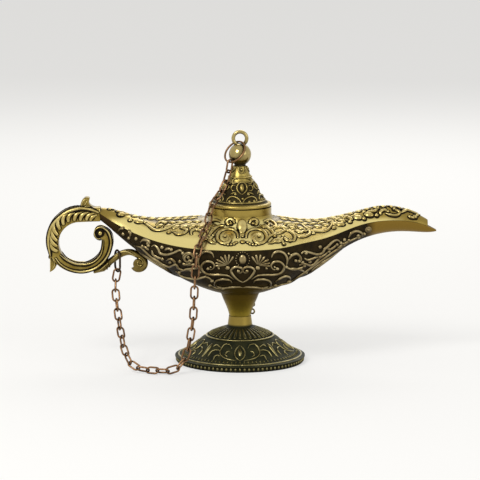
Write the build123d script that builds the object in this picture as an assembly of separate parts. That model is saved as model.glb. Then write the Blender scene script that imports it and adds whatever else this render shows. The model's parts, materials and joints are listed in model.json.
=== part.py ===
"""A genie oil lamp in cast, antique-plated metal, modelled in millimetres with +Z up.

The origin is the centre of the foot's standing ring. The spout points along +X, the handle along -X,
and the chain hangs on the -Y side. The body is two cast shells that meet at a seam, on a turned foot that
one screw holds. The lid drops into a collar, and a chain of oval links ties its finial to the handle.
"""

import math
import os

from build123d import *

# Overall sizes
foot_radius = 33.3
seam_height = 62.2
body_half_width = 32.6
body_half_length = 71.0
spout_reach = 100.0
spout_roof_share = 0.8483
shell_wall = 1.5
thin_wall_share = 0.4
edge_slope_share = 0.62
seam_gap = 0.15
seam_overrun = 0.4
arch_steps = 6
cut_overrun = 1.0
rim_tolerance_share = 1e-4

# Foot
foot_neck_radius = 5.7
foot_neck_flare = 0.7
foot_neck_height = 5.3
foot_height = 23.4
foot_wall = 2.2
bead_band_height = 2.6
bead_band_radius = 32.4
foot_ring_radius = 17.0
foot_ring_tube = 0.45
foot_slope_shares = ((0.352, 0.883), (0.586, 0.644), (0.742, 0.411), (0.886, 0.245))

# Screw that holds the foot
screw_radius = 2.0
screw_keel_gap = 5.0
screw_head_radius = 3.7
screw_head_height = 2.2
screw_slot_width = 0.9
screw_slot_depth = 1.1
screw_clearance = 0.06
washer_radius = 4.3
washer_thickness = 0.8
boss_wall = 2.6
boss_gap = 0.05

# Neck of the lower shell
neck_radius = 5.5
neck_flare_radius = 12.0
neck_flare_overlap = 2.3
neck_slope_shares = ((0.15, 0.08), (0.39, 0.28), (0.59, 0.48), (0.87, 0.75), (1.0, 1.0))

# Collar and lid
collar_radius = 16.0
collar_height = 3.6
collar_base_share = 1.2267
collar_flare_radius = 21.0
collar_flare_drop = 7.3
mouth_radius = 13.5
skirt_clearance = 0.25
skirt_wall = 1.3
skirt_depth = 5.0
lid_gap = 0.1
lid_rim_radius = 15.9
lid_rim_height = 2.0
lid_cone_height = 18.6
lid_top_radius = 3.3
lid_wall = 1.6
lid_band_radius = 0.5
lid_rim_round_share = 0.4
lid_skin_share = 0.5
lid_slope_shares = ((0.0, 0.90), (0.16, 0.72), (0.44, 0.53), (0.71, 0.36))
collar_slope_shares = ((0.35, 0.60), (0.70, 0.22))

# Finial
finial_neck_height = 1.2
finial_neck_radius = 2.9
finial_stud_radius = 1.5
finial_stud_length = 4.0
ball_radius = 5.7
eye_radius = 3.4
eye_wire_radius = 0.95

# Handle: a ring that ends in a volute under its own root
handle_ring_radius = 17.0
handle_hole_radius = 11.0
handle_hole_drop = 1.4
handle_hole_shift = 0.2
handle_reach = 10.5
handle_root_height = 7.0
handle_rise = 0.4
handle_depth = 7.6
handle_edge_round = 1.3
handle_hole_round = 0.7
handle_gap = 0.12
spigot_radius = 1.5
spigot_length = 5.0
spigot_drop = 3.9
volute_radius = 3.1
volute_drop = 13.4
volute_boss_radius = 1.5
volute_boss_height = 0.5
thumb_leaf_length = 6.4
thumb_leaf_height = 5.0
thumb_leaf_depth = 4.6
tail_leaf_length = 16.2
tail_leaf_width = 5.3
tail_leaf_depth = 4.4
thumb_leaf_shares = (
    (0.0, -0.3), (0.06, 0.2), (0.14, 0.55), (0.34, 0.90), (0.58, 1.04), (0.80, 0.90), (0.74, 0.58),
    (0.84, 0.26), (1.12, -0.02), (1.2, -0.3),
)
tail_leaf_shares = (
    (1.0, 0.29), (0.88, 0.34), (0.74, 0.40), (0.57, 0.31), (0.40, 0.16), (0.25, 0.07), (0.10, 0.10),
    (0.16, 0.40), (0.38, 0.66), (0.56, 0.92), (0.70, 1.0), (0.84, 0.87), (0.95, 0.56),
)

# Branch scroll between the handle and the bowl
branch_radius = 1.65
branch_length = 22.5
branch_height = 9.0
branch_gap = 0.1
branch_volute_radius = 2.3
branch_sheath_radius = 2.5
branch_sheath_length = 5.0
branch_tail_length = 5.0
branch_tail_radius = 0.5
branch_band_radius = 0.45
branch_band_shares = (0.35, 0.7)
branch_taper_share = 0.3
branch_sheath_end_share = 1.1
branch_foot_drop = 14.2
branch_foot_setback = 11.0
branch_shares = (
    (0.0, 0.0), (0.14, 0.24), (0.29, 0.51), (0.44, 0.76), (0.65, 0.875), (0.83, 0.69), (0.975, 0.33),
    (0.955, 0.04), (0.84, -0.11), (0.735, 0.04),
)
branch_volute_shares = (0.815, 0.21)

# Chain
link_wire = 0.95
link_width = 4.4
link_play = 0.3
link_count = 37
top_ring_radius = 6.1
top_ring_wire = 1.0
top_ring_tilt = 53.0
top_ring_turn = 225.0
ring_seat_gap = 0.3
end_ring_length = 12.0
end_ring_width = 7.6
end_ring_wire = 1.1
end_ring_turn = 25.0
end_ring_place_share = 0.285
route_samples = 60
pitch_halvings = 40

# Body stations: place along the length as a share of body_half_length (from 1 to 2 it runs from there to
# spout_reach), half width as a share of body_half_width, then keel, seam and ridge as shares of seam_height.
handle_side_shares = (
    (-1.00, 0.141, 1.166, 1.230, 1.272),
    (-0.87, 0.235, 1.040, 1.145, 1.241),
    (-0.73, 0.420, 0.912, 1.082, 1.197),
    (-0.56, 0.675, 0.786, 1.036, 1.180),
    (-0.36, 0.895, 0.662, 1.010, 1.190),
    (-0.15, 0.990, 0.575, 1.000, 1.205),
)
spout_side_shares = (
    (0.15, 0.990, 0.575, 1.002, 1.205),
    (0.36, 0.895, 0.662, 1.026, 1.176),
    (0.56, 0.675, 0.788, 1.060, 1.168),
    (0.73, 0.440, 0.928, 1.106, 1.204),
    (0.87, 0.285, 1.012, 1.152, 1.250),
    (1.0245, 0.206, 1.060, 1.176, 1.283),
    (1.4407, 0.172, 1.077, 1.174, 1.262),
    (1.7345, 0.125, 1.070, 1.145, 1.205),
    (2.0, 0.030, 1.077, 1.090, 1.098),
)

# Route of the chain down the lid: shares of lid_rim_radius sideways and of the lid's height above its base.
lid_route_shares = (
    (-0.3899, -0.3465, 0.8057),
    (-0.5346, -0.4408, 0.5007),
    (-0.7233, -0.6315, 0.2833),
    (-0.9119, -0.9677, 0.0780),
)
# From there over the shoulder, down to the table in front of the foot, along it and up to the handle:
# shares of body_half_length, body_half_width and seam_height.
route_shares = (
    (-0.2211, -0.590, 1.234),
    (-0.2437, -0.745, 1.155),
    (-0.2761, -0.945, 1.080),
    (-0.3014, -1.085, 0.990),
    (-0.3113, -1.110, 0.870),
    (-0.3183, -1.095, 0.735),
    (-0.3239, -1.080, 0.590),
    (-0.3324, -1.074, 0.434),
    (-0.3521, -1.074, 0.290),
    (-0.3746, -1.080, 0.172),
    (-0.4070, -1.098, 0.092),
    (-0.4535, -1.128, 0.044),
    (-0.5099, -1.150, 0.032),
    (-0.5704, -1.130, 0.031),
    (-0.6408, -1.058, 0.031),
    (-0.7042, -1.012, 0.034),
    (-0.7549, -0.958, 0.052),
    (-0.7958, -0.858, 0.102),
    (-0.8282, -0.721, 0.185),
    (-0.8479, -0.567, 0.272),
    (-0.8662, -0.399, 0.372),
    (-0.8831, -0.240, 0.490),
    (-0.8958, -0.100, 0.610),
)
# Roll of the links about the chain, in degrees, at even places along it: 0 shows a link's face.
roll_angles = (-45.0, -35.0, -20.0, 0.0, 10.0, 20.0, 45.0, 40.0, 20.0, 0.0)

collar_base_height = collar_base_share * seam_height
collar_top = collar_base_height + collar_height
lid_base = collar_top + lid_gap
lid_cone_base = lid_base + lid_rim_height
lid_top = lid_cone_base + lid_cone_height
ball_height = lid_top + finial_neck_height + ball_radius * math.cos(math.asin(lid_top_radius / ball_radius))
eye_height = ball_height + ball_radius + eye_radius - eye_wire_radius
neck_seam = foot_height + boss_gap
keel_height = seam_height * handle_side_shares[-1][2]
neck_flare_height = keel_height + neck_flare_overlap - neck_seam
screw_tip_height = keel_height - screw_keel_gap
spout_length = spout_reach - body_half_length
foot_shoulder = foot_height - foot_neck_height


def stations(side_shares):
    """Real sizes (place, half width, keel, seam, ridge) of the body's cross-sections."""
    places = []
    for place, width, keel, seam, ridge in side_shares:
        x = place * body_half_length
        if place > 1:
            x = body_half_length + (place - 1) * spout_length
        places.append((x, width * body_half_width, keel * seam_height, seam * seam_height,
                       ridge * seam_height))
    return places


def arch_section(x, half_width, edge, crown, power, overrun=0.0):
    """A cross-section that arches from one edge over its crown to the other, closed by a flat line.

    power 1 gives half an ellipse, and 2 a parabola. overrun carries both ends past the edge for a cut,
    and half_width stays true at the edge."""
    rise = crown - edge
    total = rise + math.copysign(overrun, rise)
    share = overrun / abs(total)
    width = half_width / math.sqrt(1 - share ** (2 / power))
    turns = [math.pi * i / arch_steps for i in range(arch_steps + 1)]
    arch = [Vector(x, width * math.cos(a), crown - total * (1 - math.sin(a) ** power)) for a in turns]
    return Face(Wire([Spline(*arch), Line(arch[-1], arch[0])]))


def revolved_curve(curve_points, closing_points):
    """A solid of revolution whose outline is a smooth curve and then straight lines."""
    curve = Spline(*[(r, 0, z) for r, z in curve_points])
    rest = Polyline(*[(r, 0, z) for r, z in [curve_points[-1], *closing_points, curve_points[0]]])
    return revolve(Face(Wire([curve, *rest.edges()])), Axis.Z, 360)


def make_foot():
    """The cast foot: a sloping dome with a beaded rim, hollow below, with a boss for the screw."""
    shoulder_radius = foot_neck_radius + foot_neck_flare
    slope = [(shoulder_radius, foot_shoulder)]
    slope += [(r * foot_radius, h * foot_shoulder) for r, h in foot_slope_shares]
    slope.append((foot_radius, bead_band_height + foot_ring_tube))
    closing = [
        (foot_radius, bead_band_height),
        (bead_band_radius, bead_band_height),
        (bead_band_radius, 0.0),
        (0.0, 0.0),
        (0.0, foot_height),
        (foot_neck_radius, foot_height),
    ]
    outside = revolved_curve(slope, closing)
    inner_slope = [(r - foot_wall, h - foot_wall) for r, h in slope]
    boss_radius = screw_radius + boss_wall
    hollow_top = inner_slope[1][1]
    below = -cut_overrun
    hollow = revolved_curve(
        inner_slope[1:],
        [(bead_band_radius - foot_wall, bead_band_height), (bead_band_radius - foot_wall, below),
         (boss_radius, below), (boss_radius, hollow_top)],
    )
    screw_seat = hollow_top - foot_wall
    counterbore = Pos(0, 0, screw_seat / 2 - cut_overrun / 2) * Cylinder(
        boss_radius + screw_clearance, screw_seat + cut_overrun)
    bore = Cylinder(screw_radius + screw_clearance, 3 * foot_height)
    body = outside - hollow - counterbore - bore
    ring = Pos(0, 0, ring_line_height()) * Torus(foot_ring_radius, foot_ring_tube)
    return body + ring, screw_seat


def ring_line_height():
    """Height of the foot's slope where the raised ring line lies, between two of its points."""
    (r0, h0), (r1, h1) = foot_slope_shares[0], foot_slope_shares[1]
    share = (foot_ring_radius / foot_radius - r0) / (r1 - r0)
    return (h0 + share * (h1 - h0)) * foot_shoulder


def make_screw(seat):
    """The slotted pan-head screw and its washer, under the foot's boss at the height seat."""
    washer = Pos(0, 0, seat - washer_thickness / 2) * Cylinder(washer_radius, washer_thickness)
    washer -= Cylinder(screw_radius + screw_clearance, 3 * foot_height)
    head_top = seat - washer_thickness
    head = Pos(0, 0, head_top - screw_head_height / 2) * Cylinder(screw_head_radius, screw_head_height)
    head = fillet(head.edges().filter_by(GeomType.CIRCLE).group_by(Axis.Z)[0], screw_head_height / 3)
    slot = Pos(0, 0, head_top - screw_head_height) * Box(
        3 * screw_head_radius, screw_slot_width, 2 * screw_slot_depth)
    screw_length = screw_tip_height - head_top
    shank = Pos(0, 0, head_top + screw_length / 2) * Cylinder(screw_radius, screw_length)
    return head - slot + shank, washer


def spigot_socket():
    """The hole in the body's closed end for the handle's spigot."""
    depth = spigot_length + screw_clearance
    middle = (depth - cut_overrun) / 2 - body_half_length
    hole = Cylinder(spigot_radius + screw_clearance, depth + cut_overrun)
    return Pos(middle, 0, spigot_height()) * Rot(0, 90, 0) * hole


def spigot_height():
    """Height of the handle's spigot, below the top of the body's end."""
    return seam_height * handle_side_shares[0][4] - spigot_drop


def make_lower_shell():
    """The bowl, its spout and the neck under it, with the blind hole that takes the foot's screw."""
    places = stations(handle_side_shares + spout_side_shares)
    outside = loft([arch_section(x, w, seam, keel, 1) for x, w, keel, seam, ridge in places])
    slope = [(neck_radius, neck_seam)]
    slope += [(neck_radius + r * (neck_flare_radius - neck_radius), neck_seam + h * neck_flare_height)
              for h, r in neck_slope_shares]
    flare = revolved_curve(slope, [(0.0, neck_seam + neck_flare_height), (0.0, neck_seam)])
    inside = []
    for x, w, keel, seam, ridge in places[1:]:
        inside.append(arch_section(x, max(w - shell_wall, w / 2), seam,
                                   keel + min(shell_wall, (seam - keel) * thin_wall_share), 1, seam_overrun))
    shell = outside + flare - loft(inside)
    hole_top = screw_tip_height + screw_clearance
    hole = Pos(0, 0, hole_top / 2) * Cylinder(screw_radius + screw_clearance, hole_top)
    return shell - hole - spigot_socket()


def make_upper_shell():
    """The shoulder and the collar that the lid sits in, down to the seam."""
    places = stations(handle_side_shares + spout_side_shares)
    outside = loft([arch_section(x, w, seam + seam_gap, ridge, 2) for x, w, keel, seam, ridge in places])
    flare_base = collar_base_height - collar_flare_drop
    slope = [(collar_flare_radius, flare_base)]
    slope += [(collar_radius + r * (collar_flare_radius - collar_radius), flare_base + h * collar_flare_drop)
              for h, r in collar_slope_shares]
    slope.append((collar_radius, collar_base_height))
    collar = revolved_curve(slope, [(collar_radius, collar_top), (0.0, collar_top), (0.0, flare_base)])
    inside = []
    for x, w, keel, seam, ridge in places[1:]:
        roof = min(shell_wall, (ridge - seam) * thin_wall_share)
        inside.append(arch_section(x, max(w - shell_wall / edge_slope_share, w / 2), seam + seam_gap,
                                   ridge - roof, 2, seam_overrun))
    mouth = Pos(0, 0, collar_base_height) * Cylinder(mouth_radius, 4 * collar_height)
    roof_end = body_half_length + spout_roof_share * spout_length
    lip_cut = Pos(roof_end + spout_reach / 2, 0, seam_height) * Box(
        spout_reach, body_half_width, seam_height)
    return outside + collar - loft(inside) - mouth - spigot_socket() - lip_cut


def make_lid():
    """The hollow cone with its rim, and the skirt that drops into the collar."""
    slope = [(lid_rim_radius * r, lid_cone_base + lid_cone_height * h) for h, r in lid_slope_shares]
    slope.append((lid_top_radius, lid_top))
    outside = revolved_curve(slope, [(0.0, lid_top), (0.0, lid_cone_base)])
    rim = Pos(0, 0, lid_base + lid_rim_height / 2) * Cylinder(lid_rim_radius, lid_rim_height)
    rim = fillet(rim.edges().filter_by(GeomType.CIRCLE), lid_rim_height * lid_rim_round_share)
    band = Pos(0, 0, slope[3][1]) * Torus(slope[3][0], lid_band_radius)
    skirt_outer = mouth_radius - skirt_clearance
    skirt = Pos(0, 0, lid_base - skirt_depth / 2) * Cylinder(skirt_outer, skirt_depth)
    hollow_slope = [(r - lid_wall, h - lid_wall * lid_skin_share) for r, h in slope[:-1]]
    void = revolved_curve(
        hollow_slope,
        [(0.0, hollow_slope[-1][1]), (0.0, lid_base), (hollow_slope[0][0], lid_base)],
    )
    throat = Pos(0, 0, lid_base - skirt_depth / 2) * Cylinder(
        skirt_outer - skirt_wall, skirt_depth + 2 * lid_rim_height)
    stud_hole = Pos(0, 0, lid_top) * Cylinder(finial_stud_radius + screw_clearance, 4 * finial_stud_length)
    return outside + rim + band + skirt - void - throat - stud_hole


def make_finial():
    """The ball with its threaded stud, and the eye on top that the chain's ring goes through."""
    ball = Pos(0, 0, ball_height) * Sphere(ball_radius)
    foot_of_ball = Pos(0, 0, lid_top + seam_gap + finial_neck_height / 2) * Cylinder(
        finial_neck_radius, finial_neck_height)
    stud = Pos(0, 0, lid_top + seam_gap - finial_stud_length / 2) * Cylinder(
        finial_stud_radius, finial_stud_length)
    eye = Pos(0, 0, eye_height) * Rot(90, 0, 0) * Torus(eye_radius, eye_wire_radius)
    eye_hole = Pos(0, 0, eye_height) * Rot(90, 0, 0) * Cylinder(
        eye_radius - eye_wire_radius, 4 * eye_wire_radius)
    return ball - eye_hole + foot_of_ball + stud + eye


def flat_outline(points, depth, smooth):
    """A plate of the given depth across Y, whose outline in (x, z) is a smooth or straight closed line."""
    corners = [(x, 0, z) for x, z in points]
    if smooth:
        edges = [Spline(*corners), Line(corners[-1], corners[0])]
    else:
        edges = Polyline(*corners, close=True).edges()
    return extrude(Face(Wire(edges)), depth / 2, dir=(0, 1, 0), both=True)


def across(x, z, radius, depth):
    """A cylinder whose axis runs along Y."""
    return Pos(x, 0, z) * Rot(90, 0, 0) * Cylinder(radius, depth)


def handle_places():
    """Where the handle's root, ring, hole and volute lie."""
    root_x = -(body_half_length + handle_gap)
    top = seam_height * handle_side_shares[0][4] + handle_rise
    ring = (root_x - handle_reach, top - handle_ring_radius)
    hole = (ring[0] + handle_hole_shift, ring[1] - handle_hole_drop)
    volute = (root_x, top - volute_drop)
    return root_x, top, ring, hole, volute


def face_rims(band, depth, of_hole):
    """The edges round the band's two faces: those of the finger hole, or those of the outside."""
    rims = [e for e in band.edges() if abs(abs(e.center().Y) - depth / 2) < depth * rim_tolerance_share]
    arcs = [e for e in rims if e.geom_type == GeomType.CIRCLE]
    hole = [e for e in arcs if math.isclose(e.radius, handle_hole_radius, rel_tol=rim_tolerance_share)]
    if of_hole:
        return hole
    straight = [e for e in rims if e.geom_type == GeomType.LINE]
    top = [e for e in straight if math.isclose(e.length, handle_reach, rel_tol=rim_tolerance_share)]
    return [e for e in arcs if e not in hole] + top


def make_handle():
    """The ring handle with its volute, thumb leaf, tail leaf and the spigot the shells clamp."""
    root_x, top, ring, hole, volute = handle_places()
    outer = handle_ring_radius
    diagonal = outer * math.sqrt(0.5)
    start = Vector(ring[0] + outer, 0, ring[1])
    curl = TangentArc(start, (volute[0], 0, volute[1] + volute_radius), tangent=(0, 0, 1))
    edges = [
        Line((root_x, 0, top), (ring[0], 0, top)),
        ThreePointArc((ring[0], 0, top), (ring[0] - outer, 0, ring[1]), (ring[0], 0, ring[1] - outer)),
        ThreePointArc((ring[0], 0, ring[1] - outer), (ring[0] + diagonal, 0, ring[1] - diagonal), start),
        curl,
        Line(curl @ 1, (hole[0], 0, hole[1])),
        Line((hole[0], 0, hole[1]), (hole[0], 0, hole[1] + handle_hole_radius)),
        Line((hole[0], 0, hole[1] + handle_hole_radius), (root_x, 0, top - handle_root_height)),
        Line((root_x, 0, top - handle_root_height), (root_x, 0, top)),
    ]
    band = extrude(Face(Wire(edges)), handle_depth / 2, dir=(0, 1, 0), both=True)
    band -= across(*hole, handle_hole_radius, 2 * handle_depth)
    band = fillet(face_rims(band, handle_depth, False), handle_edge_round)
    band = fillet(face_rims(band, handle_depth, True), handle_hole_round)
    volute_disc = across(*volute, volute_radius, handle_depth)
    volute_disc = fillet(volute_disc.edges().filter_by(GeomType.CIRCLE), handle_hole_round)
    boss = across(*volute, volute_boss_radius, handle_depth + 2 * volute_boss_height)
    boss = fillet(boss.edges().filter_by(GeomType.CIRCLE), volute_boss_height)
    thumb = [(root_x - handle_reach + x * thumb_leaf_length, top + z * thumb_leaf_height)
             for x, z in thumb_leaf_shares]
    tail_x = ring[0] - outer
    tail = [(tail_x + z * tail_leaf_width, ring[1] - handle_hole_shift - x * tail_leaf_length)
            for x, z in tail_leaf_shares]
    leaves = flat_outline(thumb, thumb_leaf_depth, True) + flat_outline(tail, tail_leaf_depth, True)
    spigot = Pos(root_x, 0, spigot_height()) * Rot(0, 90, 0) * Cylinder(spigot_radius, 2 * spigot_length)
    return band + volute_disc + boss + leaves + spigot


def branch_places():
    """The branch scroll's centre line, and the centre of the volute it ends in."""
    root_x, top, ring, hole, volute = handle_places()
    foot_x = ring[0] + branch_foot_setback
    foot_z = ring[1] - branch_foot_drop
    line = [Vector(foot_x + x * branch_length, 0, foot_z + z * branch_height) for x, z in branch_shares]
    x, z = branch_volute_shares
    return line, Vector(foot_x + x * branch_length, 0, foot_z + z * branch_height)


def make_branch():
    """The branch: a curled bar with a banded sheath where it meets the handle's ring."""
    root_x, top, ring, hole, volute = handle_places()
    line, curl_centre = branch_places()
    path = Spline(*line)
    bar = sweep(Plane(path @ 0, z_dir=path % 0) * Circle(branch_radius), path)
    curl = across(curl_centre.X, curl_centre.Z, branch_volute_radius, 2 * branch_radius)
    along = (line[1] - line[0]).normalized()
    sheath_start = Plane(path @ 0, z_dir=along)
    sheath = sheath_start * Pos(0, 0, branch_sheath_length / 2) * Cone(
        branch_sheath_radius, branch_radius * branch_sheath_end_share, branch_sheath_length)
    bands = [sheath_start * Pos(0, 0, branch_sheath_length * share) * Torus(
        branch_sheath_radius * (1 - share * branch_taper_share), branch_band_radius)
        for share in branch_band_shares]
    tail = sheath_start * Pos(0, 0, -branch_tail_length / 2) * Cone(
        branch_tail_radius, branch_sheath_radius, branch_tail_length)
    branch = bar + curl + sheath + tail + bands
    return branch - across(*ring, handle_ring_radius + branch_gap, 3 * handle_depth)


def oval_ring(length, width, wire):
    """A link in the XY plane, longest along X, from two half rings and two straight sides."""
    bend_radius = (width - wire) / 2
    straight = length - wire - 2 * bend_radius
    path = Wire([
        Line((straight / 2, -bend_radius, 0), (-straight / 2, -bend_radius, 0)),
        ThreePointArc((-straight / 2, -bend_radius, 0), (-straight / 2 - bend_radius, 0, 0),
                      (-straight / 2, bend_radius, 0)),
        Line((-straight / 2, bend_radius, 0), (straight / 2, bend_radius, 0)),
        ThreePointArc((straight / 2, bend_radius, 0), (straight / 2 + bend_radius, 0, 0),
                      (straight / 2, -bend_radius, 0)),
    ])
    return sweep(Plane((0, -bend_radius, 0), z_dir=(1, 0, 0)) * Circle(wire / 2), path)


def top_ring_places():
    """Centre, direction down and sideways direction of the round ring in the finial's eye."""
    turn = math.radians(top_ring_turn)
    tilt = math.radians(top_ring_tilt)
    down = Vector(math.cos(turn) * math.cos(tilt), math.sin(turn) * math.cos(tilt), -math.sin(tilt))
    side = Vector(-math.sin(turn), math.cos(turn), 0)
    eye_floor = eye_height - eye_radius + eye_wire_radius
    seat = Vector(0, 0, eye_floor + ring_seat_gap + top_ring_wire / 2)
    return seat + down * top_ring_radius, down, side


def end_ring_centre():
    """Centre of the long ring that hangs round the branch bar."""
    path = Spline(*branch_places()[0])
    bar = path @ end_ring_place_share
    slope = path % end_ring_place_share
    top = bar.Z + (branch_radius + ring_seat_gap + end_ring_wire / 2) / slope.X
    return Vector(bar.X, 0, top + end_ring_wire / 2 - end_ring_length / 2)


def end_ring_plane():
    """The plane that the end ring lies in: x down its length, turned a little so that it shows from the front."""
    turn = math.radians(end_ring_turn)
    return Plane(end_ring_centre(), x_dir=(0, 0, 1), z_dir=(math.cos(turn), math.sin(turn), 0))


def chain_pivots():
    """The points where one link hangs in the next, at equal steps from the top ring to the end ring."""
    reach = (link_wire + link_play) / 2
    centre, down, side = top_ring_places()
    start = centre + down * (top_ring_radius - reach)
    end_centre = end_ring_centre()
    end = end_centre + Vector(0, 0, (end_ring_wire - end_ring_length) / 2 + reach)
    lid_height = lid_top - lid_base
    middle = [Vector(x * lid_rim_radius, y * lid_rim_radius, lid_base + z * lid_height)
              for x, y, z in lid_route_shares]
    middle += [Vector(x * body_half_length, y * body_half_width, z * seam_height)
               for x, y, z in route_shares]
    route = Spline(start, *middle, end)
    sample_count = route_samples * link_count
    samples = [route @ (i / sample_count) for i in range(sample_count + 1)]
    low, high = 0.0, route.length / link_count
    for _ in range(pitch_halvings):
        pitch = (low + high) / 2
        pivots = [start]
        for before, after in zip(samples, samples[1:]):
            ahead = (after - pivots[-1]).length - pitch
            if ahead >= 0 and len(pivots) <= link_count:
                behind = pitch - (before - pivots[-1]).length
                pivots.append(before + (after - before) * (behind / (behind + ahead)))
        if len(pivots) > link_count:
            low = pitch
        else:
            high = pitch
    pivots = pivots[:link_count] + [end]
    return pivots, low


def link_planes(pivots):
    """A plane for each link: x along the chain, z square to the link's face, rolled by turns."""
    planes = []
    for i, (start, end) in enumerate(zip(pivots, pivots[1:])):
        along = (end - start).normalized()
        toward = Vector(0, -1, 0)
        face = (toward - along * toward.dot(along)).normalized()
        place = i / (link_count - 1) * (len(roll_angles) - 1)
        k = min(int(place), len(roll_angles) - 2)
        roll = roll_angles[k] + (roll_angles[k + 1] - roll_angles[k]) * (place - k) + 90 * (i % 2)
        turned = face * math.cos(math.radians(roll)) + along.cross(face) * math.sin(math.radians(roll))
        planes.append(Plane((start + end) * 0.5, x_dir=along, z_dir=turned))
    return planes


def make_chain():
    """The top ring, the links and the end ring, by name."""
    pivots, pitch = chain_pivots()
    link = oval_ring(pitch + 2 * link_wire + link_play, link_width, link_wire)
    centre, down, side = top_ring_places()
    pieces = {"top_ring": Plane(centre, x_dir=down, z_dir=down.cross(side)) * Torus(
        top_ring_radius, top_ring_wire / 2)}
    for i, plane in enumerate(link_planes(pivots)):
        pieces[f"link_{i + 1:02d}"] = plane * link
    hanging = oval_ring(end_ring_length, end_ring_width, end_ring_wire)
    pieces["end_ring"] = end_ring_plane() * hanging
    return pieces


def make_lamp():
    """Every piece by its node name."""
    foot, seat = make_foot()
    screw, washer = make_screw(seat)
    pieces = {
        "foot": foot,
        "foot_screw": screw,
        "foot_washer": washer,
        "lower_shell": make_lower_shell(),
        "upper_shell": make_upper_shell(),
        "handle": make_handle(),
        "handle_branch": make_branch(),
        "lid": make_lid(),
        "finial": make_finial(),
    }
    pieces.update(make_chain())
    return pieces


os.makedirs("parts", exist_ok=True)
for node, shape in make_lamp().items():
    export_step(shape, f"parts/{node}.step")
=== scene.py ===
# %% [markdown]
# A genie oil lamp: two cast brass shells for its body, a cast handle, foot and lid, and a wire chain.
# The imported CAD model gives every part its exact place, so it is loaded first and left as it is.
# This lesson lights it, gives each casting its metal and patina, and lays the raised ornament on it.

# %% Load the lamp
import json
import math

import bmesh
import bpy
from mathutils import Matrix, Vector
from mathutils.bvhtree import BVHTree


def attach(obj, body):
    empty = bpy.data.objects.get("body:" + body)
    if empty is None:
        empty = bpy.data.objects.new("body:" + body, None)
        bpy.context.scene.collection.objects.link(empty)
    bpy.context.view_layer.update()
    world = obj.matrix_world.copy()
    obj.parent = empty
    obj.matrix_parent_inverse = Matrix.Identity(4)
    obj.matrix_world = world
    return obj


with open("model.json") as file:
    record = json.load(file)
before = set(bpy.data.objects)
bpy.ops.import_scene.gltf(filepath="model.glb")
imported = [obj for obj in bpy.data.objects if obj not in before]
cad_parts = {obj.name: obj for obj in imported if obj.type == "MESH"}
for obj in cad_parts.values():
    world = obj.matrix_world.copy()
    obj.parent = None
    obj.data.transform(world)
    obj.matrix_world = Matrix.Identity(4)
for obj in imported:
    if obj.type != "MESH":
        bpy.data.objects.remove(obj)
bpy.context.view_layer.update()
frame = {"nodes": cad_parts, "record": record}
nodes = frame["nodes"]
mm = 0.001
bpy.ops.object.select_all(action="DESELECT")
print("parts of the lamp:", len(nodes))

# %% [markdown]
# The picture was taken from straight in front, a little above the lamp, with a long lens.
# A near camera would stretch the spout and the handle toward the edges, so this one stands far away
# with the same field of view, which keeps them in proportion.

# %% Camera
PHOTO_PIXELS = 480
PHOTO_WIDTH = 244.9 * mm
CAMERA_DISTANCE = 1.5
CAMERA_TILT = math.radians(9.2)
look_at = Vector((0, 0, 62.4 * mm))
camera_place = look_at + CAMERA_DISTANCE * Vector((0, -math.cos(CAMERA_TILT), math.sin(CAMERA_TILT)))

bpy.ops.object.camera_add(location=camera_place, rotation=(math.pi / 2 - CAMERA_TILT, 0, 0))
camera = bpy.context.object
camera.name = "photo_camera"
camera.data.sensor_width = 36
camera.data.lens = 36 * CAMERA_DISTANCE / PHOTO_WIDTH
bpy.context.scene.camera = camera
print("lens in mm:", round(camera.data.lens, 1))

# %% [markdown]
# Colours are written as in any paint program, as hex values.
# The render works with linear light, so one function turns them round.
# A second small function adds a shader node with its settings and its links.

# %% Colour and node helpers
def linear(hex_colour):
    """The linear red, green, blue and alpha of a hex colour, by the standard sRGB curve."""
    values = [int(hex_colour[i:i + 2], 16) / 255 for i in (0, 2, 4)]
    return tuple(v / 12.92 if v <= 0.04045 else ((v + 0.055) / 1.055) ** 2.4 for v in values) + (1,)


def add_node(tree, kind, links=(), settings=(), **sockets):
    """Adds one node. Sockets are named values, links are (input name, output socket) pairs."""
    node = tree.nodes.new(kind)
    for name, value in dict(settings).items():
        setattr(node, name, value)
    for name, value in sockets.items():
        node.inputs[name.replace("_", " ")].default_value = value
    for name, output in links:
        tree.links.new(output, node.inputs[name])
    return node


print("middle grey in linear light:", round(linear("808080")[0], 3))

# %% [markdown]
# The lamp stands on a plain pale floor in front of a white studio backdrop.
# Both show white to the camera and in reflections through their material, not through more light.
# The floor that is seen is a darker matt, lifted to near white, so the lamp's shadow stays on it.

# %% Floor and backdrop
def background_ray(tree):
    """One for the rays that show the background: from the camera, off metal and through glass."""
    path = add_node(tree, "ShaderNodeLightPath").outputs
    both = add_node(tree, "ShaderNodeMath", [(0, path["Is Camera Ray"]), (1, path["Is Glossy Ray"])],
                    {"operation": "MAXIMUM"})
    every = add_node(tree, "ShaderNodeMath", [(0, both.outputs[0]), (1, path["Is Transmission Ray"])],
                     {"operation": "MAXIMUM"})
    return every.outputs[0]


def studio_white(name, hex_colour, seen_hex, lift):
    """Pale matt paint. The rays that show the background see a darker paint with an even glow of lift."""
    material = bpy.data.materials.new(name)
    material.use_nodes = True
    tree = material.node_tree
    tree.nodes.clear()
    matt = add_node(tree, "ShaderNodeBsdfDiffuse", Color=linear(hex_colour))
    shade = add_node(tree, "ShaderNodeBsdfDiffuse", Color=linear(seen_hex))
    glow = add_node(tree, "ShaderNodeEmission", Color=linear("ffffff"), Strength=lift)
    pale = add_node(tree, "ShaderNodeAddShader", [(0, shade.outputs[0]), (1, glow.outputs[0])])
    paint = add_node(tree, "ShaderNodeMixShader",
                     [(0, background_ray(tree)), (1, matt.outputs[0]), (2, pale.outputs[0])])
    add_node(tree, "ShaderNodeOutputMaterial", [("Surface", paint.outputs[0])])
    return material


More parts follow.
